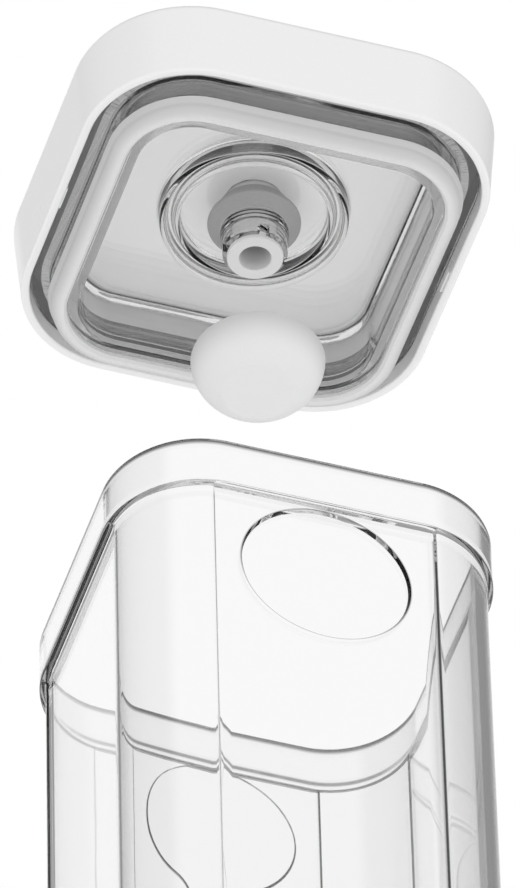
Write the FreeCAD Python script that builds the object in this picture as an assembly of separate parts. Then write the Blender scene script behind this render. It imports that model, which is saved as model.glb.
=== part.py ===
"""Vacuum seal canister: a clear square box, a white lid with a clear inner plate, a silicone seal,
a one-way valve and a push-on splash cap. The lid stands lifted above the box and the cap hangs pulled
off its nozzle. Millimetres, +Z up, origin at the middle of the base. The front face is at -Y."""

import FreeCAD, Part
import math
import os

# Box
box_height = 190.0
rim_width = 100.0
rim_corner_radius = 25.0
rim_height = 15.0
rim_wall = 2.6
rim_edge_radius = 0.8
rim_underside_slope = 1.4
body_inset = 2.5
body_wall = 3.0
base_thickness = 4.0
base_edge_radius = 4.0
floor_edge_radius = 4.0
foot_width = 9.0
foot_height = 1.2
panel_width = 57.0
panel_depth = 0.7
panel_foot_gap = 12.0
disc_diameter = 43.0
disc_depth = 0.6
disc_top_gap = 0.4
window_width = 13.0
window_fillet_radius = 10.0
window_corner_radius = 4.0
window_foot_gap = 24.0

# Lid cover
lid_overhang = 4.0
lid_corner_radius = 29.0
lid_height = 24.0
lid_flare = 2.0
lid_wall = 2.3
lid_top_thickness = 2.5
lid_edge_radius = 3.0
skirt_edge_radius = 0.7
weld_rib_width = 2.0
weld_rib_inset = 3.0
grip_rib_length = 7.0
grip_rib_height = 2.0
grip_rib_depth = 1.0
grip_rib_lift = 1.0

# Valve tray in the lid's top
tray_diameter = 34.0
tray_depth = 5.0
tray_wall = 1.8
vent_diameter = 1.4
vent_circle_diameter = 6.6
vent_count = 6

# Clear inner plate
rim_seat_height = 4.5
flange_thickness = 2.2
plate_wall = 2.2
plug_wall = 3.0
plug_drop = 6.0
plate_tray_gap = 2.5
well_edge_radius = 4.0
carrier_drop = 2.2
bead_outer_diameter = 49.0
bead_width = 5.4
bead_height = 6.0
bead_wall = 1.8

# Silicone seal
seal_band_width = 4.0
seal_drop = 7.5
seal_lip_depth = 0.9
seal_lip_height = 2.0
seal_edge_radius = 2.5
seal_inner_chamfer = 0.7

# Valve stem
stem_bore = 8.2
stem_sleeve_wall = 1.6
stem_lip_width = 0.9
stem_lip_height = 2.0
stem_tube_length = 1.6
stem_tube_chamfer = 0.5

# Valve housing around the stem
shank_wall = 1.0
neck_shoulder = 1.2
neck_length = 3.9
neck_edge_radius = 0.4
spigot_step = 0.45
spigot_length = 4.9
spigot_slot_width = 2.5
spigot_slot_height = 2.8
spigot_slot_count = 4
tube_step = 1.1

# Flanged washer around the housing
boss_wall = 1.75
boss_height = 4.6
collar_overhang = 3.25
collar_thickness = 1.0
collar_slope = 2.4

# Valve poppet and lift knob
poppet_shaft_diameter = 4.0
poppet_bead_diameter = 6.0
poppet_bead_height = 1.5
poppet_disc_diameter = 18.0
poppet_disc_thickness = 1.4
poppet_lift = 2.5
knob_gap = 2.0
knob_stud_diameter = 6.0
knob_stud_height = 2.2
knob_dish_depth = 0.9
knob_dish_rim = 3.0
knob_edge_radius = 1.0
knob_below_top = 0.2

# Splash cap
cap_diameter = 34.4
cap_height = 12.2
cap_wall = 1.8
cap_floor_thickness = 2.2
cap_foot_diameter = 19.0
cap_foot_rise = 0.5
cap_socket_depth = 5.6
cap_socket_wall = 1.5
cap_slot_width = 2.4
cap_slot_count = 4

# Fits and the places of the lifted lid and the pulled cap
seal_clearance = 0.3
slide_clearance = 0.05
flange_clearance = 0.3
socket_clearance = 0.1
lid_gap = 131.0
cap_pull = 48.0
overrun = 1.0
level_tolerance = 0.0001

# Derived places
rim_half = rim_width / 2
body_half = rim_half - body_inset
body_radius = rim_corner_radius - body_inset
rim_foot_z = box_height - rim_height
panel_top_z = rim_foot_z - rim_underside_slope
disc_radius = disc_diameter / 2
disc_z = panel_top_z - disc_top_gap - disc_radius
mouth_half = rim_half - rim_wall
mouth_radius = rim_corner_radius - rim_wall
lid_half = rim_half + lid_overhang
skirt_half = lid_half - lid_wall
skirt_radius = lid_corner_radius - lid_wall
cover_ceiling = lid_height - lid_top_thickness
tray_floor = lid_height - tray_depth
tray_foot = tray_floor - tray_wall
flange_top = rim_seat_height + flange_thickness
carrier_foot = -carrier_drop
plate_top = tray_foot - plate_tray_gap
well_ceiling = plate_top - plate_wall
seal_half = mouth_half - seal_clearance
seal_radius = mouth_radius - seal_clearance
carrier_half = seal_half - seal_lip_depth
carrier_radius = seal_radius - seal_lip_depth
plug_half = carrier_half - seal_band_width
plug_radius = carrier_radius - seal_band_width
sleeve_radius = stem_bore / 2 + stem_sleeve_wall
stem_lip_radius = sleeve_radius + stem_lip_width
stem_lip_z = tray_foot - stem_lip_height
shank_radius = stem_lip_radius + slide_clearance + shank_wall
neck_radius = shank_radius + neck_shoulder
spigot_radius = neck_radius - spigot_step
tube_radius = spigot_radius - tube_step
collar_top = well_ceiling - boss_height
collar_foot = collar_top - collar_thickness
neck_top = collar_foot - collar_slope
spigot_top = neck_top - neck_length
spigot_foot = spigot_top - spigot_length
stem_foot = spigot_foot - stem_tube_length
lid_rest_z = box_height + lid_gap

AXIS_FOOT = FreeCAD.Vector(0, 0, 0)
UP = FreeCAD.Vector(0, 0, 1)


def rounded_square(half, radius, z):
    """A closed wire: a square with rounded corners, centred on the Z axis."""
    flat = half - radius
    turn = radius * math.sqrt(0.5)
    level = FreeCAD.Vector(0, 0, z)
    edges = []
    for quarter in range(4):
        angle = math.radians(90 * quarter)
        across = FreeCAD.Vector(math.cos(angle), math.sin(angle), 0)
        along = FreeCAD.Vector(-math.sin(angle), math.cos(angle), 0)
        low = level + across * half - along * flat
        high = level + across * half + along * flat
        middle = level + (across + along) * (flat + turn)
        end = level + across * flat + along * half
        edges.append(Part.LineSegment(low, high).toShape())
        edges.append(Part.Arc(high, middle, end).toShape())
    return Part.Wire(edges)


def prism(half, radius, low, high):
    """An upright block with a rounded square section."""
    base = Part.Face(rounded_square(half, radius, low))
    return base.extrude(FreeCAD.Vector(0, 0, high - low))


def drafted(half, radius, low, flare, high):
    """A block whose section grows by flare from low to high."""
    wires = [rounded_square(half, radius, low), rounded_square(half + flare, radius + flare, high)]
    return Part.makeLoft(wires, True, True)


def ring_wall(half, radius, wall, low, high):
    """An upright wall of even thickness around a rounded square."""
    return prism(half, radius, low, high).cut(prism(half - wall, radius - wall, low, high))


def disc(radius, low, high):
    """An upright cylinder on the Z axis."""
    return Part.makeCylinder(radius, high - low, FreeCAD.Vector(0, 0, low))


def outline(points):
    """A closed wire in the XZ plane through (x, z) corners. A corner written as (x, z, (x, z)) is reached
    by an arc through the inner pair."""
    places = [FreeCAD.Vector(point[0], 0, point[1]) for point in points]
    edges = []
    for index, point in enumerate(points):
        start = places[index - 1]
        end = places[index]
        if len(point) == 3:
            through = FreeCAD.Vector(point[2][0], 0, point[2][1])
            edges.append(Part.Arc(start, through, end).toShape())
        else:
            edges.append(Part.LineSegment(start, end).toShape())
    return Part.Wire(edges)


def turned(points):
    """A solid of revolution about Z from the (radius, height) corners of an outline."""
    return Part.Face(outline(points)).revolve(AXIS_FOOT, UP, 360)


def half_way_sag(radius, sag):
    """How far a shallow ball-shaped dish of that radius and sag has risen from its middle, half way out."""
    ball = (radius ** 2 + sag ** 2) / (2 * sag)
    return ball - math.sqrt(ball ** 2 - (radius / 2) ** 2)


def edges_at(shape, z):
    """The edges that lie level at height z."""
    found = []
    for edge in shape.Edges:
        box = edge.BoundBox
        if max(abs(box.ZMin - z), abs(box.ZMax - z)) < level_tolerance:
            found.append(edge)
    return found


def around(shape, count):
    """Copies of a shape spaced evenly about Z, joined."""
    copies = []
    for index in range(count):
        copy = shape.copy()
        copy.rotate(AXIS_FOOT, UP, 360 * index / count)
        copies.append(copy)
    return copies[0].fuse(copies[1:])


def box_shell():
    """The box without its panels: rounded walls, a collar that steps out at the mouth, rounded floor."""
    body = prism(body_half, body_radius, 0, rim_foot_z)
    body = body.makeFillet(base_edge_radius, edges_at(body, 0))
    slope = drafted(body_half, body_radius, panel_top_z, body_inset, rim_foot_z)
    collar = prism(rim_half, rim_corner_radius, rim_foot_z, box_height)
    outside = body.fuse([slope, collar]).removeSplitter()
    cavity_half = body_half - body_wall
    cavity_radius = body_radius - body_wall
    cavity = prism(cavity_half, cavity_radius, base_thickness, box_height)
    cavity = cavity.makeFillet(floor_edge_radius, edges_at(cavity, base_thickness))
    ledge_z = rim_foot_z + rim_wall
    lead = drafted(cavity_half, cavity_radius, panel_top_z, mouth_half - cavity_half, ledge_z)
    mouth = prism(mouth_half, mouth_radius, ledge_z, box_height)
    shell = outside.cut(cavity.fuse([lead, mouth]))
    return shell.makeFillet(rim_edge_radius, edges_at(shell, box_height))


def keyhole_window(sink):
    """A cutter for the back window: a disc that runs over fillets into a strip, sink deep from y = 0."""
    half = window_width / 2
    reach = disc_radius + window_fillet_radius
    turn_x = half + window_fillet_radius
    turn_z = -math.sqrt(reach ** 2 - turn_x ** 2)
    leave_x = turn_x * disc_radius / reach
    leave_z = turn_z * disc_radius / reach
    bulge_angle = (math.atan2(-turn_z, -turn_x) + math.pi) / 2
    bulge_x = turn_x + window_fillet_radius * math.cos(bulge_angle)
    bulge_z = turn_z + window_fillet_radius * math.sin(bulge_angle)
    foot = window_foot_gap - disc_z
    cut_off = window_corner_radius * (1 - math.sqrt(0.5))
    edge = half - window_corner_radius
    wire = outline([
        (leave_x, leave_z, (bulge_x, bulge_z)),
        (-leave_x, leave_z, (0, disc_radius)),
        (-half, turn_z, (-bulge_x, bulge_z)),
        (-half, foot + window_corner_radius),
        (-edge, foot, (cut_off - half, foot + cut_off)),
        (edge, foot),
        (half, foot + window_corner_radius, (half - cut_off, foot + cut_off)),
        (half, turn_z),
    ])
    return Part.Face(wire).extrude(FreeCAD.Vector(0, -sink, 0))


def canister_body():
    """The clear box: a sunk panel in each side, a sunk disc in the front panel, a keyhole-shaped window
    in the back one, and a hollow foot."""
    face_y = body_half + overrun
    panel = Part.makeBox(panel_width, overrun + panel_depth, panel_top_z - panel_foot_gap)
    panel.translate(FreeCAD.Vector(-panel_width / 2, -face_y, panel_foot_gap))
    sink = overrun + panel_depth + disc_depth
    disc_foot = FreeCAD.Vector(0, -face_y, disc_z)
    front_disc = Part.makeCylinder(disc_radius, sink, disc_foot, FreeCAD.Vector(0, 1, 0))
    keyhole = keyhole_window(sink)
    keyhole.translate(FreeCAD.Vector(0, face_y, disc_z))
    hollow = prism(body_half - foot_width, body_radius - foot_width, -overrun, foot_height)
    shell = box_shell().cut(around(panel, 4))
    return shell.cut([front_disc, keyhole, hollow]).removeSplitter()


def lid_cover():
    """The white outer shell, with the valve tray sunk in its top and a weld rib for the inner plate."""
    block = drafted(lid_half, lid_corner_radius, 0, lid_flare, lid_height)
    block = block.makeFillet(lid_edge_radius, edges_at(block, lid_height))
    hollow_flare = lid_flare * cover_ceiling / lid_height
    shell = block.cut(drafted(skirt_half, skirt_radius, 0, hollow_flare, cover_ceiling))
    shell = shell.makeFillet(skirt_edge_radius, edges_at(shell, 0))
    rib_half = skirt_half - weld_rib_inset
    rib_radius = skirt_radius - weld_rib_inset
    rib = ring_wall(rib_half, rib_radius, weld_rib_width, flange_top, cover_ceiling)
    tray = disc(tray_diameter / 2 + tray_wall, tray_foot, cover_ceiling)
    grip = Part.makeBox(grip_rib_length, grip_rib_depth + lid_wall / 2, grip_rib_height)
    grip.translate(FreeCAD.Vector(-grip_rib_length / 2, -skirt_half - lid_wall / 2, grip_rib_lift))
    well = disc(tray_diameter / 2, tray_floor, lid_height + overrun)
    guide = disc(poppet_shaft_diameter / 2 + slide_clearance, tray_foot - overrun, tray_floor + overrun)
    vent_foot = FreeCAD.Vector(vent_circle_diameter / 2, 0, tray_foot - overrun)
    vent = Part.makeCylinder(vent_diameter / 2, tray_wall + 2 * overrun, vent_foot)
    shell = shell.fuse([rib, tray, around(grip, 4)])
    return shell.cut([well, guide, around(vent, vent_count)]).removeSplitter()


def bead(inner_radius, outer_radius, crest, top):
    """A bead that hangs below the plate: straight sides and a round crest, closed at top."""
    middle = (inner_radius + outer_radius) / 2
    side_foot = crest + (outer_radius - inner_radius) / 2
    return turned([
        (inner_radius, top),
        (inner_radius, side_foot),
        (outer_radius, side_foot, (middle, crest)),
        (outer_radius, top),
    ])


def inner_plate():
    """The clear plate: a flange that stops on the box's rim, the seal's carrier, a plug wall round a deep
    well, and a hollow round bead about the valve."""
    flange_half = skirt_half - flange_clearance
    flange_radius = skirt_radius - flange_clearance
    flange = prism(flange_half, flange_radius, rim_seat_height, flange_top)
    carrier = prism(carrier_half, carrier_radius, carrier_foot, flange_top)
    space_half = carrier_half - plate_wall
    space_radius = carrier_radius - plate_wall
    space = prism(space_half, space_radius, carrier_foot + plate_wall, flange_top)
    plug = prism(plug_half, plug_radius, -plug_drop, plate_top)
    well = prism(plug_half - plug_wall, plug_radius - plug_wall, -plug_drop, well_ceiling)
    well = well.makeFillet(well_edge_radius, edges_at(well, well_ceiling))
    plate = flange.fuse(carrier).cut(space).fuse(plug).cut(well)
    outer = bead_outer_diameter / 2
    inner = outer - bead_width
    crest = well_ceiling - bead_height
    skin = bead(inner, outer, crest, plate_top)
    core = bead(inner + bead_wall, outer - bead_wall, crest + bead_wall, plate_top + overrun)
    hole = disc(shank_radius + slide_clearance, -overrun, plate_top + overrun)
    return plate.fuse(skin).cut([core, hole]).removeSplitter()


def lid_seal():
    """The silicone ring around the plug: a soft rounded foot and a lip that grips the box's mouth."""
    core = prism(carrier_half, carrier_radius, -seal_drop, carrier_foot)
    core = core.makeFillet(seal_edge_radius, edges_at(core, -seal_drop))
    lip = drafted(carrier_half, carrier_radius, carrier_foot - seal_lip_height, seal_lip_depth, carrier_foot)
    bore = prism(plug_half, plug_radius, -seal_drop, carrier_foot)
    mouth = plug_half + seal_inner_chamfer
    turn = plug_radius + seal_inner_chamfer
    chamfer = drafted(mouth, turn, -seal_drop, -seal_inner_chamfer, seal_inner_chamfer - seal_drop)
    return core.fuse(lip).cut([bore, chamfer]).removeSplitter()


def valve_housing():
    """The clear housing through the plate: a shank that reaches up to the tray, a round neck below it and
    a spigot with slots in its foot, which the splash cap grips."""
    bore = sleeve_radius + slide_clearance
    lip = stem_lip_radius + slide_clearance
    body = turned([
        (bore, spigot_foot),
        (spigot_radius, spigot_foot),
        (spigot_radius, spigot_top),
        (neck_radius, spigot_top),
        (neck_radius, neck_top),
        (shank_radius, neck_top),
        (shank_radius, tray_foot),
        (lip, tray_foot),
        (lip, stem_lip_z),
        (bore, stem_lip_z),
    ])
    between = (spigot_radius + neck_radius) / 2
    neck_edge = [edge for edge in edges_at(body, spigot_top) if edge.BoundBox.XMax > between]
    body = body.makeFillet(neck_edge_radius, neck_edge)
    slot = Part.makeBox(spigot_radius, spigot_slot_width, spigot_slot_height + overrun)
    slot.translate(FreeCAD.Vector(bore / 2, -spigot_slot_width / 2, spigot_foot - overrun))
    return body.cut(around(slot, spigot_slot_count))


def housing_washer():
    """The grey silicone washer around the shank: a boss up to the plate, a thin collar and a sloped foot."""
    bore = shank_radius + slide_clearance
    boss = bore + boss_wall
    collar = neck_radius + collar_overhang
    return turned([
        (bore, neck_top),
        (neck_radius, neck_top),
        (collar, collar_foot),
        (collar, collar_top),
        (boss, collar_top),
        (boss, well_ceiling),
        (bore, well_ceiling),
    ])


def valve_stem():
    """The white silicone tube in the housing, with an open foot just below the spigot."""
    bore = stem_bore / 2
    return turned([
        (bore, stem_foot),
        (tube_radius - stem_tube_chamfer, stem_foot),
        (tube_radius, stem_foot + stem_tube_chamfer),
        (tube_radius, spigot_foot),
        (sleeve_radius, spigot_foot),
        (sleeve_radius, stem_lip_z),
        (stem_lip_radius, stem_lip_z),
        (stem_lip_radius, tray_foot),
        (bore, tray_foot),
    ])


def valve_poppet():
    """The silicone valve: a disc over the tray's vents, a guide shaft and a bead that keeps it in."""
    shaft = poppet_shaft_diameter / 2
    bead_top = tray_foot - poppet_lift
    bead_foot = bead_top - poppet_bead_height
    disc_top = tray_floor + poppet_disc_thickness
    stud = knob_stud_diameter / 2
    return turned([
        (0, bead_foot),
        (shaft, bead_foot),
        (poppet_bead_diameter / 2, bead_top),
        (shaft, bead_top),
        (shaft, tray_floor),
        (poppet_disc_diameter / 2, tray_floor),
        (poppet_disc_diameter / 2, disc_top),
        (stud, disc_top),
        (stud, disc_top + knob_stud_height),
        (0, disc_top + knob_stud_height),
    ])


def valve_knob():
    """The white lift knob on the poppet, dished on top, just below the lid's surface."""
    radius = tray_diameter / 2 - knob_gap
    stud = knob_stud_diameter / 2
    foot = tray_floor + poppet_disc_thickness
    top = lid_height - knob_below_top
    dish = radius - knob_dish_rim
    dish_foot = top - knob_dish_depth
    knob = turned([
        (stud, foot),
        (radius, foot),
        (radius, top),
        (dish, top),
        (0, dish_foot, (dish / 2, dish_foot + half_way_sag(dish, knob_dish_depth))),
        (0, foot + knob_stud_height),
        (stud, foot + knob_stud_height),
    ])
    rim = [edge for edge in edges_at(knob, top) if edge.BoundBox.XMax > dish + knob_dish_rim / 2]
    return knob.makeFillet(knob_edge_radius, rim)


def splash_cap():
    """The white silicone bowl that pushes over the nozzle: round sides, a nearly flat foot, and a slotted
    socket inside that leaves the air a way through."""
    rim = cap_diameter / 2
    foot = cap_foot_diameter / 2
    low = stem_foot - cap_floor_thickness
    high = low + cap_height
    drop = cap_height - cap_foot_rise
    bend = ((rim - foot) ** 2 + drop ** 2) / (2 * (rim - foot))
    centre = rim - bend
    inner_bend = bend - cap_wall
    inner_drop = high - stem_foot
    outer_turn = math.asin(drop / bend) / 2
    inner_turn = math.asin(inner_drop / inner_bend) / 2
    floor = centre + math.sqrt(inner_bend ** 2 - inner_drop ** 2)
    outer_through = (centre + bend * math.cos(outer_turn), high - bend * math.sin(outer_turn))
    inner_through = (centre + inner_bend * math.cos(inner_turn), high - inner_bend * math.sin(inner_turn))
    bowl = turned([
        (0, low),
        (foot, low + cap_foot_rise, (foot / 2, low + half_way_sag(foot, cap_foot_rise))),
        (rim, high, outer_through),
        (rim - cap_wall, high),
        (floor, stem_foot, inner_through),
        (0, stem_foot),
    ])
    bore = spigot_radius + socket_clearance
    socket = disc(bore + cap_socket_wall, stem_foot, stem_foot + cap_socket_depth)
    socket = socket.cut(disc(bore, stem_foot, stem_foot + cap_socket_depth))
    slot = Part.makeBox(rim, cap_slot_width, cap_socket_depth)
    slot.translate(FreeCAD.Vector(0, -cap_slot_width / 2, stem_foot))
    return bowl.fuse(socket.cut(around(slot, cap_slot_count))).removeSplitter()


def main():
    os.makedirs("parts", exist_ok=True)
    canister_body().exportStep("parts/canister_body.step")
    lid_makers = [lid_cover, inner_plate, lid_seal, valve_housing, housing_washer, valve_stem]
    valve_makers = [valve_poppet, valve_knob]
    for make in lid_makers + valve_makers:
        piece = make()
        piece.translate(FreeCAD.Vector(0, 0, lid_rest_z))
        piece.exportStep("parts/" + make.__name__ + ".step")
    cap = splash_cap()
    cap.translate(FreeCAD.Vector(0, 0, lid_rest_z - cap_pull))
    cap.exportStep("parts/splash_cap.step")


main()
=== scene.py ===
import math

import bmesh
import bpy
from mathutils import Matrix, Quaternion, Vector


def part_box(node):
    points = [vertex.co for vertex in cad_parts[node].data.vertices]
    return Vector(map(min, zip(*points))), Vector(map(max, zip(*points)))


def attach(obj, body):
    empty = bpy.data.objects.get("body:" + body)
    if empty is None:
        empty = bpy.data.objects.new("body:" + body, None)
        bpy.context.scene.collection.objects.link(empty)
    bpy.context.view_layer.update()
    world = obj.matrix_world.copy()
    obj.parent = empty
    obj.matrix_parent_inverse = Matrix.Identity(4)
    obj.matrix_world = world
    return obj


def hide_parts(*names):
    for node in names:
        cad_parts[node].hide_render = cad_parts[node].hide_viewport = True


# Looks of the vacuum seal canister: a clear moulded box, a white lid lifted off it with its clear inner
# plate, silicone seal and air valve, and the white silicone cap pulled off the valve's nozzle.
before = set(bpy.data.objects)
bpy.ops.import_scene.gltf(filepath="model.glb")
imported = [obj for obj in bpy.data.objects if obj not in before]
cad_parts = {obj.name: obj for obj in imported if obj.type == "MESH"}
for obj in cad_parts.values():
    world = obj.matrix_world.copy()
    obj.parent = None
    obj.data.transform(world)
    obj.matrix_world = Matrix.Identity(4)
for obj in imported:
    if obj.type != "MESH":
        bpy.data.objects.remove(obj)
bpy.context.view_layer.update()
MM = 0.001

# Shared by the pieces, in mm: play between two that fit, a gap between faces that would coincide, how far a
# cutter reaches past what it cuts, and the radius left open on the axis of a turned piece
FIT = 0.05
SKIN = 0.03
OVERRUN = 1.0
AXIS_HOLE = 0.4

# Box, in mm from the floor
RIM_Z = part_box("canister_body")[1].z / MM
RIM_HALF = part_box("canister_body")[1].x / MM
CORNER_AT = 25.0
RIM_HEIGHT = 15.0
RIM_WALL = 2.6
RIM_EDGE = 1.1
RIM_SLOPE = 0.9
BODY_INSET = 1.5
BODY_HALF = RIM_HALF - BODY_INSET
BODY_WALL = 3.0
BASE = 4.0
BASE_EDGE = 4.0
FOOT_WIDTH = 9.0
FOOT_HEIGHT = 1.2
PANEL_HALF = 28.5
PANEL_SINK = 0.7
PANEL_FOOT = 12.0
DISC_RADIUS = 21.5
DISC_SINK = 1.0
DISC_GAP = 0.4
KEYHOLE_HALF = 6.5
KEYHOLE_FOOT = 24.0
KEYHOLE_FILLET = 10.0
KEYHOLE_CORNER = 4.0
MARK_BEVEL = 0.35
STEP_SOFT = 0.35
MOUTH_SOFT = 1.2
RIM_FOOT = RIM_Z - RIM_HEIGHT
PANEL_TOP = RIM_FOOT - RIM_SLOPE
DISC_Z = PANEL_TOP - DISC_GAP - DISC_RADIUS
STEP_WIDTH = 0.8
STEP_SHARES = (0, 0.25, 0.5, 0.75, 1)
FLAT_SHARES = (0.8, 0.6, 0.4, 0.2, 0)

# Lid, in mm from the lower edge of its skirt
LID_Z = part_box("lid_cover")[0].z / MM
LID_OVERHANG = 3.98
LID_HALF = RIM_HALF + LID_OVERHANG
LID_HEIGHT = 24.0
LID_FLARE = 2.0
LID_WALL = 2.3
LID_TOP = 2.5
LID_EDGE = 3.0
SKIRT_EDGE = 0.7
RIB_INSET = 3.0
RIB_WIDTH = 2.0
GRIP_LENGTH = 7.0
GRIP_HEIGHT = 2.0
GRIP_DEPTH = 0.5
GRIP_LIFT = 1.0
TRAY_RADIUS = 17.0
TRAY_DEPTH = 5.0
TRAY_WALL = 1.8
TRAY_MARGIN = 2.0
TRAY_SOFT = 0.5

# Clear plate and seal in the lid
RIM_SEAT = 4.5
FLANGE = 2.2
PLATE_WALL = 2.2
PLATE_GAP = 2.5
PLUG_WALL = 3.0
PLUG_DROP = 6.0
WELL_EDGE = 4.0
CARRIER_FOOT = -2.2
BEAD_OUTER = 24.5
BEAD_INNER = 19.1
BEAD_HEIGHT = 6.0
BEAD_WALL = 1.8
SEAL_CLEARANCE = 0.3
SEAL_HALF = RIM_HALF - RIM_WALL - SEAL_CLEARANCE
SEAL_LIP = 0.9
SEAL_LIP_HEIGHT = 2.0
SEAL_BAND = 4.0
SEAL_DROP = 7.5
SEAL_EDGE = 2.5
SEAL_CHAMFER = 0.7
SEAL_SOFT = 0.3
FLANGE_GAP = 0.3
FLANGE_SOFT = 0.4
BEAD_INNER_SOFT = 0.8
BEAD_OUTER_SOFT = 1.2
CARRIER_SOFT = 0.5

# Short straight runs that hold a profile's direction before it turns, in mm
HOLE_RUN = 1.0
BEAD_RUN = 3.0
WELL_RUN = 2.0
FLANGE_RUN = 2.0
LIP_RUN = 0.5
SEAL_RUN = 1.0

# Valve in the lid, in mm: radii, and the lengths, widths and depths of its parts
BORE = 4.1
SLEEVE = 5.7
STEM_LIP = 6.6
STEM_LIP_HEIGHT = 2.0
SHANK = 7.65
NECK = 8.85
SPIGOT = 8.4
TUBE = 7.3
BOSS = 9.45
COLLAR = 12.1
BOSS_HEIGHT = 4.6
COLLAR_THICKNESS = 1.0
COLLAR_SLOPE = 2.4
NECK_LENGTH = 3.9
SPIGOT_LENGTH = 4.9
TUBE_LENGTH = 1.6
SLOT_WIDTH = 2.5
SLOT_HEIGHT = 2.8
SHAFT = 2.0
POPPET_BEAD = 3.0
POPPET_BEAD_HEIGHT = 1.5
POPPET_LIFT = 2.5
POPPET_DISC = 9.0
POPPET_DISC_THICKNESS = 1.4
STUD = 3.0
STUD_HEIGHT = 2.2
KNOB = 15.0
KNOB_DISH = 12.0
KNOB_DISH_DEPTH = 0.9
KNOB_BELOW_TOP = 0.2
NECK_LINE = 0.25
NECK_LINE_SHARES = (0.34, 0.67)
KNOB_DISH_SHARES = (1.0, 0.8, 0.6, 0.4, 0.2, 0.05)
WASHER_CLEARANCE = 0.1
NECK_SOFT = 0.3
WASHER_SOFT = 0.35
STEM_SOFT = 0.5
POPPET_SOFT = 0.25
KNOB_SOFT = 0.6

# Levels and half widths in the lid that follow from these
CEILING = LID_HEIGHT - LID_TOP
TRAY_FLOOR = LID_HEIGHT - TRAY_DEPTH
TRAY_FOOT = TRAY_FLOOR - TRAY_WALL
PLATE_TOP = TRAY_FOOT - PLATE_GAP
WELL = PLATE_TOP - PLATE_WALL
FLANGE_TOP = RIM_SEAT + FLANGE
SKIRT_HALF = LID_HALF - LID_WALL
CARRIER_HALF = SEAL_HALF - SEAL_LIP
PLUG_HALF = CARRIER_HALF - SEAL_BAND
COLLAR_TOP = WELL - BOSS_HEIGHT
COLLAR_FOOT = COLLAR_TOP - COLLAR_THICKNESS
NECK_TOP = COLLAR_FOOT - COLLAR_SLOPE
SPIGOT_TOP = NECK_TOP - NECK_LENGTH
SPIGOT_FOOT = SPIGOT_TOP - SPIGOT_LENGTH
STEM_FOOT = SPIGOT_FOOT - TUBE_LENGTH
STEM_LIP_Z = TRAY_FOOT - STEM_LIP_HEIGHT
WELL_HALF = PLUG_HALF - PLUG_WALL

# Splash cap, in mm from its foot
CAP_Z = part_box("splash_cap")[0].z / MM
CAP_RIM = 17.2
CAP_FOOT = 9.5
CAP_HEIGHT = 12.2
CAP_RISE = 0.5
CAP_WALL = 1.8
CAP_FLOOR = 2.2
SOCKET_CLEARANCE = 0.1
SOCKET_BORE = SPIGOT + SOCKET_CLEARANCE
SOCKET_WALL = 1.5
SOCKET_DEPTH = 5.6
SOCKET_SLOT = 2.4
SOCKET_SINK = 0.5
SOCKET_SOFT = 0.3
CAP_FOOT_SOFT = 0.8
CAP_LIP_SOFT = 0.6
CAP_DOME_SHARES = (0.04, 0.3, 0.6, 0.85)

# Mesh fineness. The first CAP_FOOT_POINTS of the bowl's curve are softened together with its foot.
CORNER_STEPS = 40
ROUND_STEPS = 96
EDGE_STEPS = 3
ARC_STEPS = 6
RIM_ARC_STEPS = 4
LID_ARC_STEPS = 8
BEAD_ARC_STEPS = 16
CAP_OUTER_STEPS = 16
CAP_INNER_STEPS = 12
CAP_FOOT_POINTS = 3
HEAD_STEPS = 32
FILLET_STEPS = 8
SOFT_SHARE = 0.45
CREASE = math.radians(32)

# Clear plastic: the faint waves left by moulding, in mm, and the polish
WAVE_LENGTH = 28.0
WAVE_DEPTH = 0.4
WAVE_STRENGTH = 0.05
POLISHED = 0.015
COPOLYESTER_IOR = 1.55

# Moulded grain: how strongly it shows, and wider clouds in which the gloss varies
GRAIN_STRENGTH = 0.3
GRAINS_PER_CLOUD = 40
GLOSS_SHARE = 0.05

# Where painted shade starts and ends in the materials, in mm. FACE_ONLY keeps the disc's line to the panel
# face.
DISC_LINE = 0.5
DISC_LINE_SOFT = 0.1
FACE_ONLY = 30.0
RIM_LINE_FOOT = 1.5
RIM_LINE_TOP = 0.6
WELL_FADE_IN = 0.6
WELL_FADE_OUT = 0.4
CARRIER_FADE_IN = 0.8
CARRIER_FADE_OUT = 2.2
SEAL_FADE_IN = 1.2
SEAL_FADE_OUT = 0.3
CAP_FADE_FOOT = 3.0

# Studio. An edge is where a change starts and ends, as a cosine from the window's bearing or as the height
# of a direction.
LIGHT_LEVEL = 0.93
LIGHT_LEAN = (0.02, -0.10, -0.20)
WINDOW_BEARING = math.radians(84)
WINDOW_EDGE = (0.80, 0.93)
FRONT_EDGE = (-0.5, -0.8)
FLOOR_EDGE = (-0.1, -0.5)
FLOOR_LEVEL = 0.6
SILL_EDGE = (0.30, 0.50)
OVERHEAD_EDGE = (0.84, 0.93)
CARD = 0.3
FLOOR_HALF = 3.0

# Camera: its place in mm from the middle of the rim, its direction, and the lens in pixels of the photo
CAMERA_FROM_RIM = (-670.4, -1987.6, -2144.2)
CAMERA_AZIMUTH = math.radians(-18.62)
CAMERA_ELEVATION = math.radians(-46.37)
CAMERA_ROLL = math.radians(-1.55)
FOCAL_PIXELS = 12038
PICTURE_PIXELS = 888
SENSOR = 36.0
CLIP_NEAR = 0.05
CLIP_FAR = 50


def linear(hex_colour):
    """An sRGB hex colour as linear RGBA."""
    parts = [int(hex_colour[i:i + 2], 16) / 255 for i in (1, 3, 5)]
    return [p / 12.92 if p <= 0.04045 else ((p + 0.055) / 1.055) ** 2.4 for p in parts] + [1.0]


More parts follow.
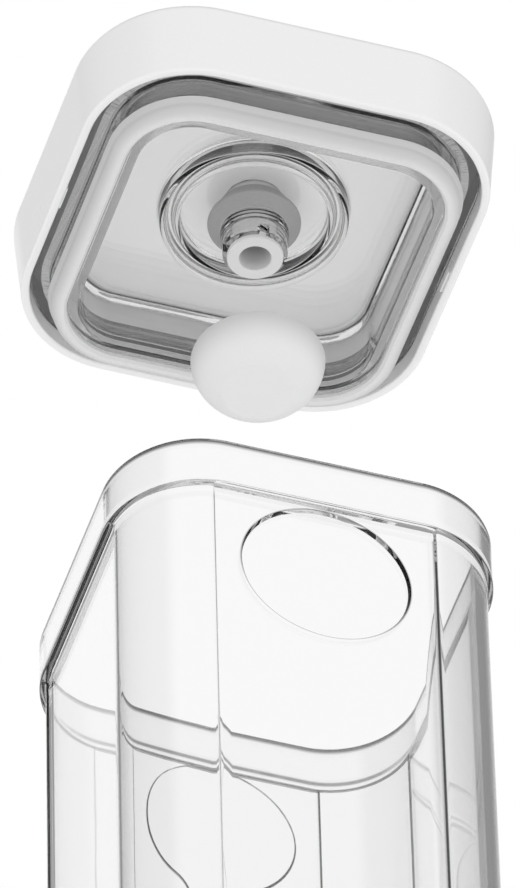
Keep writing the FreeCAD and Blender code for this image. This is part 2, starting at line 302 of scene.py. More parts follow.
def add_node(tree, kind, settings, inputs):
    """Adds a node with its settings. An input is a fixed value, or another node's output to link."""
    node = tree.nodes.new(kind)
    for name, value in settings.items():
        setattr(node, name, value)
    for name, value in inputs.items():
        if isinstance(value, bpy.types.NodeSocket):
            tree.links.new(value, node.inputs[name])
        else:
            node.inputs[name].default_value = value
    return node


def new_material(name):
    """An empty material, its node tree and its output."""
    material = bpy.data.materials.new(name)
    material.use_nodes = True
    tree = material.node_tree
    tree.nodes.clear()
    output = tree.nodes.new("ShaderNodeOutputMaterial")
    return material, tree, output


def number_math(tree, operation, first, second):
    """What a Math node makes of two numbers."""
    return add_node(tree, "ShaderNodeMath", {"operation": operation}, {0: first, 1: second}).outputs[0]


def vector_math(tree, operation, *inputs):
    """The outputs of a Vector Math node: "Vector", or "Value" where the result is a number."""
    return add_node(tree, "ShaderNodeVectorMath", {"operation": operation}, dict(enumerate(inputs))).outputs


def stepped(tree, value, start, end, low=0.0, high=1.0):
    """A smooth change from low to high while a value goes from start to end."""
    return add_node(tree, "ShaderNodeMapRange", {"interpolation_type": "SMOOTHSTEP"}, {
        "Value": value, "From Min": start, "From Max": end, "To Min": low, "To Max": high,
    }).outputs[0]


def blended(tree, share, first, second):
    """A mix of two colours. The Mix node's sockets share their names, so they go by number."""
    return add_node(tree, "ShaderNodeMix", {"data_type": "RGBA"}, {0: share, 6: first, 7: second}).outputs[2]


def lighting_ray(tree):
    """1 on a ray that gathers light for another surface, otherwise 0."""
    path = add_node(tree, "ShaderNodeLightPath", {}, {}).outputs
    return number_math(tree, "MAXIMUM", path["Is Shadow Ray"], path["Is Diffuse Ray"])


def eased(share):
    """A share held between 0 and 1, with a smooth start and end."""
    share = min(max(share, 0), 1)
    return share * share * (3 - 2 * share)


def turned(x, y, quarter):
    """A point turned about the Z axis by a number of quarter turns."""
    for _ in range(quarter):
        x, y = -y, x
    return x, y


def circle(radius):
    """The points of a circle about the origin."""
    turn = [2 * math.pi * step / ROUND_STEPS for step in range(ROUND_STEPS)]
    return [(radius * math.cos(a), radius * math.sin(a)) for a in turn]


def soften(points, setback, closed=False):
    """Rounds the corners of a profile by a short curve. A point is (kind, size, height)."""
    made = []
    count = len(points)
    for index, point in enumerate(points):
        before = points[index - 1]
        after = points[(index + 1) % count]
        inner = closed or 0 < index < count - 1
        if not inner or before[0] != point[0] or after[0] != point[0]:
            made.append(point)
            continue
        here = Vector(point[1:])
        back = Vector(before[1:]) - here
        ahead = Vector(after[1:]) - here
        start = here + back.normalized() * min(setback, back.length * SOFT_SHARE)
        end = here + ahead.normalized() * min(setback, ahead.length * SOFT_SHARE)
        for step in range(EDGE_STEPS + 1):
            t = step / EDGE_STEPS
            place = start.lerp(here, t).lerp(here.lerp(end, t), t)
            made.append((point[0], place.x, place.y))
    return made


def arc(kind, size, height, radius, start, end, steps=ARC_STEPS):
    """Profile points on an arc about (size, height), from start to end degrees."""
    made = []
    for step in range(steps + 1):
        angle = math.radians(start + (end - start) * step / steps)
        made.append((kind, size + radius * math.cos(angle), height + radius * math.sin(angle)))
    return made


def ring_of(point):
    """The points of one level ring: kind "square" is a rounded square whose corners turn about CORNER_AT,
    kind "round" a circle."""
    kind, size, height = point
    made = []
    for quarter in range(4):
        for step in range(CORNER_STEPS + 1):
            if kind == "square":
                angle = math.radians(90 * step / CORNER_STEPS)
                radius = size - CORNER_AT
                x = CORNER_AT + radius * math.cos(angle)
                y = CORNER_AT + radius * math.sin(angle)
            else:
                angle = math.radians(90 * (step + 0.5) / (CORNER_STEPS + 1))
                x = size * math.cos(angle)
                y = size * math.sin(angle)
            made.append((*turned(x, y, quarter), height))
    return made


def linked(name, mesh):
    """An object in the scene from a finished bmesh."""
    bmesh.ops.recalc_face_normals(mesh, faces=mesh.faces)
    data = bpy.data.meshes.new(name)
    mesh.to_mesh(data)
    mesh.free()
    piece = bpy.data.objects.new(name, data)
    bpy.context.scene.collection.objects.link(piece)
    return piece


def mesh_of(name, rings, closed=False, lift=0.0):
    """A mesh through level rings of points. An open one is capped at both ends."""
    mesh = bmesh.new()
    loops = [[mesh.verts.new((x * MM, y * MM, (z + lift) * MM)) for x, y, z in ring] for ring in rings]
    pairs = list(zip(loops, loops[1:]))
    if closed:
        pairs.append((loops[-1], loops[0]))
    else:
        mesh.faces.new(loops[0])
        mesh.faces.new(list(reversed(loops[-1])))
    count = len(loops[0])
    for low, high in pairs:
        for index in range(count):
            after = (index + 1) % count
            mesh.faces.new((low[index], high[index], high[after], low[after]))
    return linked(name, mesh)


def loft(name, profile, lift):
    """A closed mesh whose level rings are rounded squares or circles, from (kind, size, height) points."""
    return mesh_of(name, [ring_of(point) for point in profile], True, lift)


def lathe(name, profile, closed, lift):
    """A turned mesh from (kind, radius, height) points."""
    rings = [[(x, y, height) for x, y in circle(radius)] for _, radius, height in profile]
    return mesh_of(name, rings, closed, lift)


def turned_piece(name, points, edge, lift, closed=True):
    """A turned mesh from (radius, height) corners, each softened by edge."""
    profile = soften([("round", radius, height) for radius, height in points], edge, closed)
    return lathe(name, profile, closed, lift)


def apply_modifiers(piece):
    """Puts what the modifiers make into the piece's own mesh."""
    graph = bpy.context.evaluated_depsgraph_get()
    data = bpy.data.meshes.new_from_object(piece.evaluated_get(graph))
    piece.modifiers.clear()
    piece.data = data


def combine(piece, tool, operation):
    """Takes the tool's volume out of a piece, or joins it on, for good."""
    modifier = piece.modifiers.new("combine", "BOOLEAN")
    modifier.operation = operation
    modifier.solver = "EXACT"
    modifier.object = tool
    apply_modifiers(piece)
    bpy.data.objects.remove(tool)


def bars(name, length, width, low, high, near, lift):
    """Four bars about the Z axis: each runs length along its side and width outwards from near."""
    far = near + width
    outline = ((-length / 2, near), (length / 2, near), (length / 2, far), (-length / 2, far))
    mesh = bmesh.new()
    for quarter in range(4):
        corners = []
        for point in outline:
            x, y = turned(*point, quarter)
            corners.append((x * MM, y * MM))
        foot = [mesh.verts.new((x, y, (low + lift) * MM)) for x, y in corners]
        head = [mesh.verts.new((x, y, (high + lift) * MM)) for x, y in corners]
        mesh.faces.new(foot)
        mesh.faces.new(head)
        for index in range(4):
            mesh.faces.new((foot[index - 1], foot[index], head[index], head[index - 1]))
    return linked(name, mesh)


def dress(piece, body, node, material):
    """Smooth shading with creases and level flats, then the piece takes the node's place on its body."""
    piece.data.polygons.foreach_set("use_smooth", [True] * len(piece.data.polygons))
    piece.data.set_sharp_from_angle(angle=CREASE)
    flats = piece.modifiers.new("level_flats", "WEIGHTED_NORMAL")
    flats.keep_sharp = True
    apply_modifiers(piece)
    piece.data.materials.clear()
    piece.data.materials.append(material)
    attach(piece, body)
    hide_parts(node)
    return piece


def panel_ring(half, height, sunk):
    """A ring of the box's outside. sunk, from 0 to 1, is how far the four side panels are let in there."""
    radius = half - CORNER_AT
    edge = PANEL_HALF + STEP_WIDTH / 2
    across = [edge - STEP_WIDTH * share for share in STEP_SHARES]
    across += [CORNER_AT + (across[-1] - CORNER_AT) * share for share in FLAT_SHARES]
    side = [-t for t in across] + across[::-1]
    turn = math.asin((edge - CORNER_AT) / radius)
    span = math.pi / 2 - 2 * turn
    made = []
    for quarter in range(4):
        points = []
        for t in side:
            past = max(abs(t) - CORNER_AT, 0)
            out = CORNER_AT + math.sqrt(radius ** 2 - past ** 2)
            share = eased((edge - abs(t)) / STEP_WIDTH)
            points.append((out - sunk * share * (out - BODY_HALF + PANEL_SINK), t))
        for step in range(1, CORNER_STEPS + 1):
            angle = turn + span * step / (CORNER_STEPS + 1)
            points.append((CORNER_AT + radius * math.cos(angle), CORNER_AT + radius * math.sin(angle)))
        made += [(*turned(x, y, quarter), height) for x, y in points]
    return made


def keyhole_ring(grow, depth):
    """One outline of the keyhole-shaped recess, grown by grow, at a depth in from the panel."""
    radius = DISC_RADIUS + grow
    half = KEYHOLE_HALF + grow
    fillet = KEYHOLE_FILLET - grow
    turn_x = half + fillet
    turn_z = -math.sqrt((radius + fillet) ** 2 - turn_x ** 2)
    leave = math.atan2(turn_z, turn_x)
    foot = KEYHOLE_FOOT - DISC_Z - grow
    right = []
    for step in range(HEAD_STEPS + 1):
        angle = math.pi / 2 + (leave - math.pi / 2) * step / HEAD_STEPS
        right.append((radius * math.cos(angle), radius * math.sin(angle)))
    for step in range(1, FILLET_STEPS + 1):
        angle = leave + math.pi - leave * step / FILLET_STEPS
        right.append((turn_x + fillet * math.cos(angle), turn_z + fillet * math.sin(angle)))
    corner = KEYHOLE_CORNER
    for step in range(ARC_STEPS + 1):
        angle = -math.pi / 2 * step / ARC_STEPS
        right.append((half - corner + corner * math.cos(angle), foot + corner + corner * math.sin(angle)))
    left = [(-x, z) for x, z in right[::-1]][:-1]
    return [(x, BODY_HALF - PANEL_SINK - depth, z + DISC_Z) for x, z in right + left]


def make_box(material):
    """The clear box: sunk side panels, a rim, a sunk disc in the front and a sunk keyhole in the back."""
    foot_half = BODY_HALF - FOOT_WIDTH
    outside = [("square", foot_half, FOOT_HEIGHT), ("square", foot_half, 0.0)]
    outside += arc("square", BODY_HALF - BASE_EDGE, BASE_EDGE, BASE_EDGE, -90, 0)
    outside += [("square", BODY_HALF, PANEL_FOOT + STEP_WIDTH * share) for share in STEP_SHARES]
    outside += soften([
        ("square", BODY_HALF, PANEL_TOP - RIM_SLOPE),
        ("square", BODY_HALF, PANEL_TOP),
        ("square", RIM_HALF, RIM_FOOT),
        ("square", RIM_HALF, RIM_Z - RIM_EDGE),
    ], STEP_SOFT)
    rings = []
    for _, half, height in outside:
        sunk = (height - PANEL_FOOT) / STEP_WIDTH
        if height > PANEL_TOP - RIM_SLOPE:
            sunk = (RIM_HALF - half) / (RIM_HALF - BODY_HALF)
        rings.append(panel_ring(half, height, eased(sunk)))
    mouth = RIM_HALF - RIM_WALL
    cavity = BODY_HALF - BODY_WALL
    inside = arc("square", RIM_HALF - RIM_EDGE, RIM_Z - RIM_EDGE, RIM_EDGE, 0, 90, RIM_ARC_STEPS)[1:]
    inside += arc("square", mouth + RIM_EDGE, RIM_Z - RIM_EDGE, RIM_EDGE, 90, 180, RIM_ARC_STEPS)
    inside += soften([
        ("square", mouth, RIM_Z - 2 * RIM_EDGE),
        ("square", mouth, RIM_FOOT + RIM_WALL),
        ("square", cavity, PANEL_TOP),
        ("square", cavity, BASE + 2 * BASE_EDGE),
    ], MOUTH_SOFT)
    inside += arc("square", cavity - BASE_EDGE, BASE + BASE_EDGE, BASE_EDGE, 0, -90)
    rings += [panel_ring(half, height, 0) for _, half, height in inside]
    piece = mesh_of("canister_box", rings)

    outlines = [
        (-MARK_BEVEL / 2, DISC_SINK), (0.0, MARK_BEVEL), (MARK_BEVEL, 0.0), (MARK_BEVEL, -PANEL_SINK),
    ]
    keyhole = [keyhole_ring(grow, depth) for grow, depth in outlines]
    combine(piece, mesh_of("keyhole_cutter", keyhole), "DIFFERENCE")
    disc = []
    for grow, depth in outlines:
        level = PANEL_SINK + depth - BODY_HALF
        disc.append([(x, level, DISC_Z + z) for x, z in circle(DISC_RADIUS + grow)])
    combine(piece, mesh_of("disc_cutter", disc), "DIFFERENCE")
    return dress(piece, "canister", "canister_body", material)


def make_lid_shell(material):
    """The lid's white shell: a flared skirt with grips inside, a rib and the valve's tray."""
    rib_out = SKIRT_HALF - RIB_INSET
    rib_in = rib_out - RIB_WIDTH
    lean = LID_FLARE / LID_HEIGHT
    shoulder = LID_HEIGHT - LID_EDGE
    middle = LID_HEIGHT / 2
    guide = SHAFT + FIT
    tray_out = TRAY_RADIUS + TRAY_WALL
    profile = soften([
        ("square", SKIRT_HALF + lean * middle, middle),
        ("square", SKIRT_HALF, 0.0),
        ("square", LID_HALF, 0.0),
        ("square", LID_HALF + lean * middle, middle),
    ], SKIRT_EDGE)
    profile += arc("square", LID_HALF + lean * shoulder - LID_EDGE, shoulder, LID_EDGE, 0, 90, LID_ARC_STEPS)
    profile += soften([
        ("round", TRAY_RADIUS + TRAY_MARGIN, LID_HEIGHT),
        ("round", TRAY_RADIUS, LID_HEIGHT),
        ("round", TRAY_RADIUS, TRAY_FLOOR),
        ("round", guide, TRAY_FLOOR),
        ("round", guide, TRAY_FOOT),
        ("round", tray_out, TRAY_FOOT),
        ("round", tray_out, CEILING),
    ], TRAY_SOFT)
    profile += [
        ("square", rib_in, CEILING),
        ("square", rib_in, FLANGE_TOP),
        ("square", rib_out, FLANGE_TOP),
        ("square", rib_out, CEILING),
        ("square", SKIRT_HALF + lean * CEILING, CEILING),
    ]
    piece = loft("lid_shell", profile, LID_Z)
    near = SKIRT_HALF - GRIP_DEPTH
    width = GRIP_DEPTH + LID_WALL / 2
    grips = bars("grips", GRIP_LENGTH, width, GRIP_LIFT, GRIP_LIFT + GRIP_HEIGHT, near, LID_Z)
    combine(piece, grips, "UNION")
    return dress(piece, "lid", "lid_cover", material)


def make_plate(material):
    """The clear plate in the lid: flange, seal carrier, plug wall, well and the hollow bead."""
    crest = WELL - BEAD_HEIGHT
    bead_middle = (BEAD_INNER + BEAD_OUTER) / 2
    bead_radius = (BEAD_OUTER - BEAD_INNER) / 2
    core = bead_radius - BEAD_WALL
    round_foot = crest + bead_radius
    hole = SHANK + FIT
    flange = SKIRT_HALF - FLANGE_GAP
    space = CARRIER_HALF - PLATE_WALL
    profile = soften([
        ("square", flange, RIM_SEAT),
        ("square", flange, FLANGE_TOP),
        ("square", space, FLANGE_TOP),
        ("square", space, CARRIER_FOOT + PLATE_WALL),
        ("square", PLUG_HALF, CARRIER_FOOT + PLATE_WALL),
        ("square", PLUG_HALF, PLATE_TOP),
    ], FLANGE_SOFT)
    profile += [("round", BEAD_OUTER - BEAD_WALL, PLATE_TOP)]
    profile += arc("round", bead_middle, round_foot, core, 0, -180, LID_ARC_STEPS)
    profile += [
        ("round", BEAD_INNER + BEAD_WALL, PLATE_TOP),
        ("round", hole, PLATE_TOP),
        ("round", hole, WELL),
    ]
    profile += soften([
        ("round", hole + HOLE_RUN, WELL),
        ("round", BEAD_INNER, WELL),
        ("round", BEAD_INNER, round_foot),
    ], BEAD_INNER_SOFT)[:-1]
    profile += arc("round", bead_middle, round_foot, bead_radius, -180, 0, BEAD_ARC_STEPS)
    profile += soften([
        ("round", BEAD_OUTER, round_foot),
        ("round", BEAD_OUTER, WELL),
        ("round", BEAD_OUTER + BEAD_RUN, WELL),
    ], BEAD_OUTER_SOFT)[1:]
    profile += arc("square", WELL_HALF - WELL_EDGE, WELL - WELL_EDGE, WELL_EDGE, 90, 0, LID_ARC_STEPS)
    profile += soften([
        ("square", WELL_HALF, WELL - WELL_EDGE - WELL_RUN),
        ("square", WELL_HALF, -PLUG_DROP),
        ("square", PLUG_HALF, -PLUG_DROP),
        ("square", PLUG_HALF, CARRIER_FOOT),
        ("square", CARRIER_HALF, CARRIER_FOOT),
        ("square", CARRIER_HALF, RIM_SEAT),
        ("square", SKIRT_HALF - FLANGE_RUN, RIM_SEAT),
    ], CARRIER_SOFT)
    piece = loft("lid_plate", profile, LID_Z)
    return dress(piece, "lid", "inner_plate", material)


def make_seal(material):
    """The silicone ring around the plug, with one lip."""
    inner = PLUG_HALF + FIT
    top = CARRIER_FOOT - FIT
    flank = CARRIER_HALF - SEAL_EDGE
    profile = [("square", inner, SEAL_CHAMFER - SEAL_DROP), ("square", inner + SEAL_CHAMFER, -SEAL_DROP)]
    profile += arc("square", flank, SEAL_EDGE - SEAL_DROP, SEAL_EDGE, -90, 0, LID_ARC_STEPS)
    profile += soften([
        ("square", CARRIER_HALF, CARRIER_FOOT - SEAL_LIP_HEIGHT - LIP_RUN),
        ("square", CARRIER_HALF, CARRIER_FOOT - SEAL_LIP_HEIGHT),
        ("square", SEAL_HALF, top),
        ("square", inner + SEAL_RUN, top),
    ], SEAL_SOFT)
    profile += [("square", inner, top)]
    piece = loft("seal_ring", profile, LID_Z)
    return dress(piece, "lid", "lid_seal", material)


def make_housing(material):
    """The clear neck: two fine lines around it and four slots in its foot."""
    bore = SLEEVE + FIT
    lip = STEM_LIP + FIT
    points = [(bore, SPIGOT_FOOT), (SPIGOT, SPIGOT_FOOT), (SPIGOT, SPIGOT_TOP), (NECK, SPIGOT_TOP)]
    for share in NECK_LINE_SHARES:
        level = SPIGOT_TOP + NECK_LENGTH * share
        points += [(NECK, level - NECK_LINE), (NECK - NECK_LINE, level), (NECK, level + NECK_LINE)]
    points += [
        (NECK, NECK_TOP - SKIN), (SHANK, NECK_TOP - SKIN), (SHANK, TRAY_FOOT),
        (lip, TRAY_FOOT), (lip, STEM_LIP_Z), (bore, STEM_LIP_Z),
    ]
    piece = turned_piece("nozzle_neck", points, NECK_SOFT, LID_Z)
    foot = SPIGOT_FOOT - OVERRUN
    slots = bars("slots", SLOT_WIDTH, SPIGOT, foot, SPIGOT_FOOT + SLOT_HEIGHT, SPIGOT / 2, LID_Z)
    combine(piece, slots, "DIFFERENCE")
    return dress(piece, "lid", "valve_housing", material)


def make_washer(material):
    """The grey washer between neck and plate, with its boss and sloped collar."""
    bore = SHANK + WASHER_CLEARANCE
    piece = turned_piece("flanged_washer", [
        (bore, NECK_TOP), (NECK, NECK_TOP), (COLLAR, COLLAR_FOOT), (COLLAR, COLLAR_TOP),
        (BOSS, COLLAR_TOP), (BOSS, WELL - SKIN), (bore, WELL - SKIN),
    ], WASHER_SOFT, LID_Z)
    return dress(piece, "lid", "housing_washer", material)


def make_stem(material):
    """The white tube in the neck, open at its foot, with a lip at its top."""
    piece = turned_piece("nozzle_tube", [
        (BORE, STEM_FOOT), (TUBE, STEM_FOOT), (TUBE, SPIGOT_FOOT - SKIN), (SLEEVE, SPIGOT_FOOT - SKIN),
        (SLEEVE, STEM_LIP_Z), (STEM_LIP, STEM_LIP_Z), (STEM_LIP, TRAY_FOOT - SKIN), (BORE, TRAY_FOOT - SKIN),
    ], STEM_SOFT, LID_Z)
    return dress(piece, "lid", "valve_stem", material)


def make_poppet(material):
    """The one-way valve: a disc, a shaft, a bead that keeps it in and a stud for the knob."""
    bead_top = TRAY_FOOT - POPPET_LIFT
    bead_foot = bead_top - POPPET_BEAD_HEIGHT
    disc_foot = TRAY_FLOOR + SKIN
    disc_top = TRAY_FLOOR + POPPET_DISC_THICKNESS
    piece = turned_piece("valve_disc", [
        (AXIS_HOLE, bead_foot), (SHAFT, bead_foot), (POPPET_BEAD, bead_top), (SHAFT, bead_top),
        (SHAFT, disc_foot), (POPPET_DISC, disc_foot), (POPPET_DISC, disc_top), (STUD, disc_top),
        (STUD, disc_top + STUD_HEIGHT), (AXIS_HOLE, disc_top + STUD_HEIGHT),
    ], POPPET_SOFT, LID_Z, False)
    return dress(piece, "valve", "valve_poppet", material)


def make_knob(material):
    """The dished knob on the valve's stud."""
    foot = TRAY_FLOOR + POPPET_DISC_THICKNESS + SKIN
    hollow = foot + STUD_HEIGHT
    top = LID_HEIGHT - KNOB_BELOW_TOP
    dish = []
    for share in KNOB_DISH_SHARES:
        dish.append((KNOB_DISH * share, top - KNOB_DISH_DEPTH * (1 - share * share)))
    stud = STUD + FIT
    points = [(AXIS_HOLE, hollow), (stud, hollow), (stud, foot), (KNOB, foot), (KNOB, top)] + dish
    piece = turned_piece("lift_knob", points, KNOB_SOFT, LID_Z, False)
    return dress(piece, "valve", "valve_knob", material)


def make_cap(material):
    """The splash cap: a bowl with a nearly flat foot and a slotted socket inside."""
    drop = CAP_HEIGHT - CAP_RISE
    bend = ((CAP_RIM - CAP_FOOT) ** 2 + drop ** 2) / (2 * (CAP_RIM - CAP_FOOT))
    centre = CAP_RIM - bend
    inner_drop = CAP_HEIGHT - CAP_FLOOR
    turn = math.degrees(math.asin(drop / bend))
    inner_turn = math.degrees(math.asin(inner_drop / (bend - CAP_WALL)))
    outer = arc("round", centre, CAP_HEIGHT, bend, -turn, 0, CAP_OUTER_STEPS)
    inner = arc("round", centre, CAP_HEIGHT, bend - CAP_WALL, 0, -inner_turn, CAP_INNER_STEPS)
    dome = [("round", CAP_FOOT * share, CAP_RISE * share * share) for share in CAP_DOME_SHARES]
    profile = soften(dome + outer[:CAP_FOOT_POINTS], CAP_FOOT_SOFT) + outer[CAP_FOOT_POINTS:-1]
    lip = [
        outer[-2],
        ("round", CAP_RIM, CAP_HEIGHT),
        ("round", CAP_RIM - CAP_WALL, CAP_HEIGHT),
        inner[1],
    ]
    profile += soften(lip, CAP_LIP_SOFT)[1:-1] + inner[1:] + [("round", AXIS_HOLE, CAP_FLOOR)]
    piece = lathe("cap_bowl", profile, False, CAP_Z)
    sunk = CAP_FLOOR - SOCKET_SINK
    tall = CAP_FLOOR + SOCKET_DEPTH
    out = SOCKET_BORE + SOCKET_WALL
    points = [(SOCKET_BORE, sunk), (out, sunk), (out, tall), (SOCKET_BORE, tall)]
    socket = turned_piece("socket", points, SOCKET_SOFT, CAP_Z)
    slots = bars("socket_slots", SOCKET_SLOT, SOCKET_BORE, CAP_FLOOR, tall + OVERRUN, SOCKET_BORE / 2, CAP_Z)
    combine(socket, slots, "DIFFERENCE")
    combine(piece, socket, "UNION")
    return dress(piece, "cap", "splash_cap", material)


def faded(tree, place, colour, painted_shades):
    """Mixes painted shade into a colour. A fade is (axis, start, end, tone). Its axis is "height", in mm from
    the floor, "reach", in mm out from the middle of the rounded square, or "disc", in mm from the middle of
    the front disc on the front panel's face."""
    for axis, start, end, tone in painted_shades:
        away = place
        offset = 0.0
        scale = (0, 0, 1)
        if axis == "reach":
            middle = (CORNER_AT * MM, CORNER_AT * MM, 0)
            side = vector_math(tree, "ABSOLUTE", place)["Vector"]
            past = vector_math(tree, "SUBTRACT", side, middle)["Vector"]
            away = vector_math(tree, "MAXIMUM", past, (0, 0, 0))["Vector"]
            offset = CORNER_AT
            scale = (1, 1, 0)
        if axis == "disc":
            middle = (0, (PANEL_SINK - BODY_HALF) * MM, DISC_Z * MM)
            away = vector_math(tree, "SUBTRACT", place, middle)["Vector"]
            scale = (1, FACE_ONLY, 1)
        kept = vector_math(tree, "MULTIPLY", away, scale)["Vector"]
        far = vector_math(tree, "LENGTH", kept)["Value"]
        share = stepped(tree, far, (start - offset) * MM, (end - offset) * MM)
        colour = blended(tree, share, colour, linear(tone))
    return colour


def clear_plastic(name, tone, painted_shades=(), shade=None):
    """Clear copolyester, moulded and polished. Its faint waviness bends what is seen through the walls, and
    its edges gather grey lines, partly from their bevels and partly painted shade from painted_shades.
    Where a shade is given, light on its way to what stands behind it passes straight through, less the shade."""
    material, tree, output = new_material(name)
    place = add_node(tree, "ShaderNodeTexCoord", {}, {}).outputs["Object"]
    waves = add_node(tree, "ShaderNodeTexNoise", {}, {
        "Vector": place, "Scale": 1 / (WAVE_LENGTH * MM), "Detail": 1.0,
    })
    bump = add_node(tree, "ShaderNodeBump", {}, {
        "Height": waves.outputs[0], "Strength": WAVE_STRENGTH, "Distance": WAVE_DEPTH * MM,
    })
    shader = add_node(tree, "ShaderNodeBsdfPrincipled", {}, {
        "Base Color": faded(tree, place, linear(tone), painted_shades), "Roughness": POLISHED,
        "IOR": COPOLYESTER_IOR, "Transmission Weight": 1.0, "Normal": bump.outputs[0],
    })
    if shade:
        through = add_node(tree, "ShaderNodeBsdfTransparent", {}, {"Color": linear(shade)})
        shader = add_node(tree, "ShaderNodeMixShader", {}, {
            0: lighting_ray(tree), 1: shader.outputs[0], 2: through.outputs[0],
        })
    tree.links.new(shader.outputs[0], output.inputs["Surface"])
    return material


def grained(name, light, dark, roughness, grain_mm, bump_mm, painted_shades=()):
    """A solid material with a fine moulded grain: faint tone and gloss changes, and a bump of bump_mm.
    Moulded grain is finer than the render can show, so grain_mm is as coarse as it needs to be to show."""
    material, tree, output = new_material(name)
    place = add_node(tree, "ShaderNodeTexCoord", {}, {}).outputs["Object"]
    grain = add_node(tree, "ShaderNodeTexNoise", {}, {
        "Vector": place, "Scale": 1 / (grain_mm * MM), "Detail": 2.0,
    })
    cloud_mm = grain_mm * GRAINS_PER_CLOUD
    cloud = add_node(tree, "ShaderNodeTexNoise", {}, {
        "Vector": place, "Scale": 1 / (cloud_mm * MM), "Detail": 3.0,
    })
    tone = blended(tree, grain.outputs[0], linear(dark), linear(light))
    gloss = add_node(tree, "ShaderNodeMapRange", {}, {
        "Value": cloud.outputs[0],
        "To Min": roughness * (1 - GLOSS_SHARE), "To Max": roughness * (1 + GLOSS_SHARE),
    })
    bump = add_node(tree, "ShaderNodeBump", {}, {
        "Height": grain.outputs[0], "Strength": GRAIN_STRENGTH, "Distance": bump_mm * MM,
    })
    shader = add_node(tree, "ShaderNodeBsdfPrincipled", {}, {
        "Base Color": faded(tree, place, tone, painted_shades), "Roughness": gloss.outputs[0],
        "Normal": bump.outputs[0],
    })
    tree.links.new(shader.outputs[0], output.inputs["Surface"])
    return material


def make_world():
    """A white studio. What is seen straight on is white; gloss and clear walls find a bright window behind
    the object, a bright front and floor, and dark cards to both sides and overhead, which draw the edges.
    The light itself is soft, a little stronger from the front and from below."""
    world = bpy.data.worlds.new("white_studio")
    bpy.context.scene.world = world
    world.use_nodes = True
    tree = world.node_tree
    tree.nodes.clear()
    way = add_node(tree, "ShaderNodeTexCoord", {}, {}).outputs["Generated"]
    height = add_node(tree, "ShaderNodeSeparateXYZ", {}, {0: way}).outputs[2]
    level = vector_math(tree, "MULTIPLY", way, (1, 1, 0))["Vector"]
    bearing = vector_math(tree, "NORMALIZE", level)["Vector"]
    behind = (math.cos(WINDOW_BEARING), math.sin(WINDOW_BEARING), 0)
    ahead = vector_math(tree, "DOT_PRODUCT", bearing, behind)["Value"]
    pane = stepped(tree, ahead, *WINDOW_EDGE)
    window = number_math(tree, "MULTIPLY", pane, stepped(tree, height, *SILL_EDGE))
    front = stepped(tree, ahead, *FRONT_EDGE)
    floor = stepped(tree, height, *FLOOR_EDGE, high=FLOOR_LEVEL)
    sides = number_math(tree, "MAXIMUM", window, front)
    around = number_math(tree, "MAXIMUM", sides, floor)
    overhead = stepped(tree, height, *OVERHEAD_EDGE, low=1.0, high=0.0)
    white = number_math(tree, "MULTIPLY", around, overhead)
    seen = add_node(tree, "ShaderNodeMapRange", {}, {"Value": white, "To Min": CARD, "To Max": 1.0})
    lean = vector_math(tree, "DOT_PRODUCT", way, LIGHT_LEAN)["Value"]
    soft = number_math(tree, "ADD", lean, LIGHT_LEVEL)
    path = add_node(tree, "ShaderNodeLightPath", {}, {}).outputs
    glint = number_math(tree, "MAXIMUM", path["Is Glossy Ray"], path["Is Transmission Ray"])
    light = add_node(tree, "ShaderNodeMix", {"data_type": "FLOAT"}, {0: glint, 2: soft, 3: seen.outputs[0]})
    shown = number_math(tree, "MAXIMUM", path["Is Camera Ray"], light.outputs[0])
    back = add_node(tree, "ShaderNodeBackground", {}, {"Color": (1, 1, 1, 1), "Strength": shown})
    add_node(tree, "ShaderNodeOutputWorld", {}, {"Surface": back.outputs[0]})


def make_floor():
    """A white floor. It is seen and shaded from above only, and lets the light from below through."""
    mesh = bmesh.new()
    bmesh.ops.create_grid(mesh, x_segments=1, y_segments=1, size=FLOOR_HALF)
    floor = linked("floor", mesh)
    material, tree, output = new_material("matte_white_floor")
    diffuse = add_node(tree, "ShaderNodeBsdfDiffuse", {}, {"Color": linear("#fafafa")})
    clear = add_node(tree, "ShaderNodeBsdfTransparent", {}, {})
    facing = add_node(tree, "ShaderNodeNewGeometry", {}, {}).outputs["Backfacing"]
    open_way = number_math(tree, "MAXIMUM", lighting_ray(tree), facing)
    mix = add_node(tree, "ShaderNodeMixShader", {}, {0: open_way, 1: diffuse.outputs[0], 2: clear.outputs[0]})
    tree.links.new(mix.outputs[0], output.inputs["Surface"])
    floor.data.materials.append(material)


def make_camera():
    """The photo's view: from below, a little to the left of the front."""
    data = bpy.data.cameras.new("camera")
    data.sensor_width = SENSOR
    data.lens = SENSOR * FOCAL_PIXELS / PICTURE_PIXELS
    data.clip_start = CLIP_NEAR
    data.clip_end = CLIP_FAR
    camera = bpy.data.objects.new("camera", data)
    bpy.context.scene.collection.objects.link(camera)
    x, y, z = CAMERA_FROM_RIM
    camera.location = Vector((x, y, z + RIM_Z)) * MM
    level = math.cos(CAMERA_ELEVATION)
    back = Vector((
        math.sin(CAMERA_AZIMUTH) * level,
        -math.cos(CAMERA_AZIMUTH) * level,
        math.sin(CAMERA_ELEVATION),
    ))
    camera.rotation_mode = "QUATERNION"
    camera.rotation_quaternion = (-back).to_track_quat("-Z", "Y") @ Quaternion((0, 0, 1), CAMERA_ROLL)
    bpy.context.scene.camera = camera


# Clear copolyester, moulded and polished: colourless walls that show by the grey lines of their edges.
# Painted shade darkens a band along the rim and a thin line around the front disc
box_plastic = clear_plastic("clear_copolyester_box", "#f8f8f8", shade="#f6f6f6", painted_shades=[
    ("disc", DISC_RADIUS - DISC_LINE_SOFT, DISC_RADIUS + DISC_LINE_SOFT, "#9c9c9c"),
    ("disc", DISC_RADIUS + DISC_LINE, DISC_RADIUS + DISC_LINE + 2 * DISC_LINE_SOFT, "#f8f8f8"),
    ("height", RIM_Z - RIM_LINE_FOOT, RIM_Z - RIM_LINE_TOP, "#747474"),
])
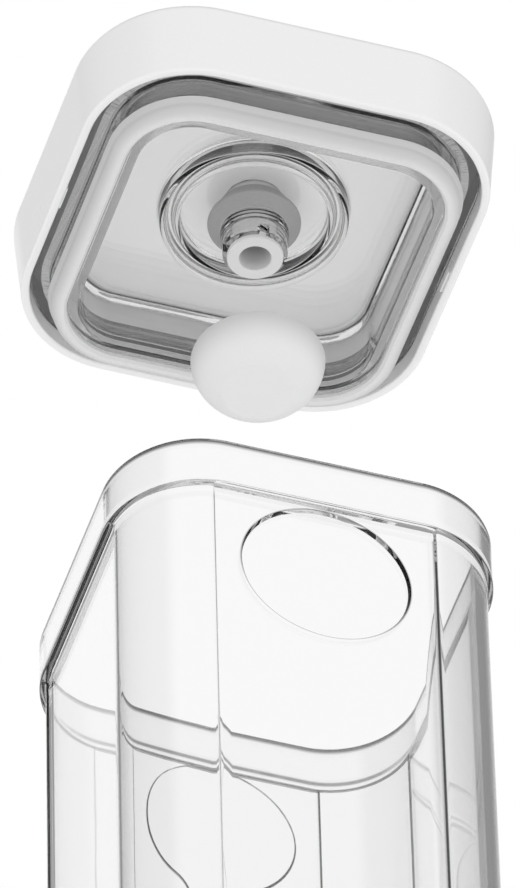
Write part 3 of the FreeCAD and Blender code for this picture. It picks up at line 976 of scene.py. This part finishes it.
# The same plastic in the lid: clear under the lid's white, with painted shade greying it from the wall of
# the well outwards, and more painted shade from the seal's carrier outwards
plate_plastic = clear_plastic("clear_copolyester_plate", "#ffffff", painted_shades=[
    ("reach", WELL_HALF - WELL_FADE_IN, WELL_HALF + WELL_FADE_OUT, "#cccccc"),
    ("reach", PLUG_HALF + CARRIER_FADE_IN, PLUG_HALF + CARRIER_FADE_OUT, "#bebebe"),
])
# The same plastic in the neck: a small thick tube, full of bent reflections
neck_plastic = clear_plastic("clear_copolyester_neck", "#f4f4f4")
# Glossy white ABS, moulded: an even white with a soft sheen
white_plastic = grained("glossy_white_abs", "#eeeeee", "#e9e9e9", roughness=0.28, grain_mm=0.6, bump_mm=0.004)
# Cloudy silicone, moulded: milky, softly shining, with painted shade greying its outer flank
cloudy_silicone = grained(
    "cloudy_silicone", "#dcdcdc", "#d4d4d4", roughness=0.42, grain_mm=0.8, bump_mm=0.006,
    painted_shades=[("reach", PLUG_HALF + SEAL_FADE_IN, CARRIER_HALF - SEAL_FADE_OUT, "#c4c4c4")],
)
# Grey silicone, moulded: an even middle grey with a faint shine
washer_silicone = grained("grey_silicone", "#a0a0a0", "#969696", roughness=0.4, grain_mm=0.8, bump_mm=0.006)
# White silicone, moulded with a fine grain: matte, with wide weak highlights
nozzle_silicone = grained(
    "white_nozzle_silicone", "#dcdcdc", "#d6d6d6", roughness=0.62, grain_mm=0.5, bump_mm=0.008,
)
# The same silicone in the cap, a thin bowl, with painted shade greying it towards its rim
cap_silicone = grained(
    "matte_white_silicone", "#e4e4e4", "#dedede", roughness=0.62, grain_mm=0.5, bump_mm=0.008,
    painted_shades=[("height", CAP_Z + CAP_FADE_FOOT, CAP_Z + CAP_HEIGHT, "#c4c4c4")],
)
make_box(box_plastic)
make_lid_shell(white_plastic)
plate = make_plate(plate_plastic)
make_seal(cloudy_silicone)
neck = make_housing(neck_plastic)
# Soft light reaches the lid's other pieces as if the clear plate and neck were not in its way
for piece in (plate, neck):
    piece.visible_diffuse = False
    piece.visible_shadow = False
make_washer(washer_silicone)
make_stem(nozzle_silicone)
make_poppet(nozzle_silicone)
make_knob(white_plastic)
make_cap(cap_silicone)
make_world()
make_floor()
make_camera()
bpy.context.scene.view_settings.view_transform = "Standard"
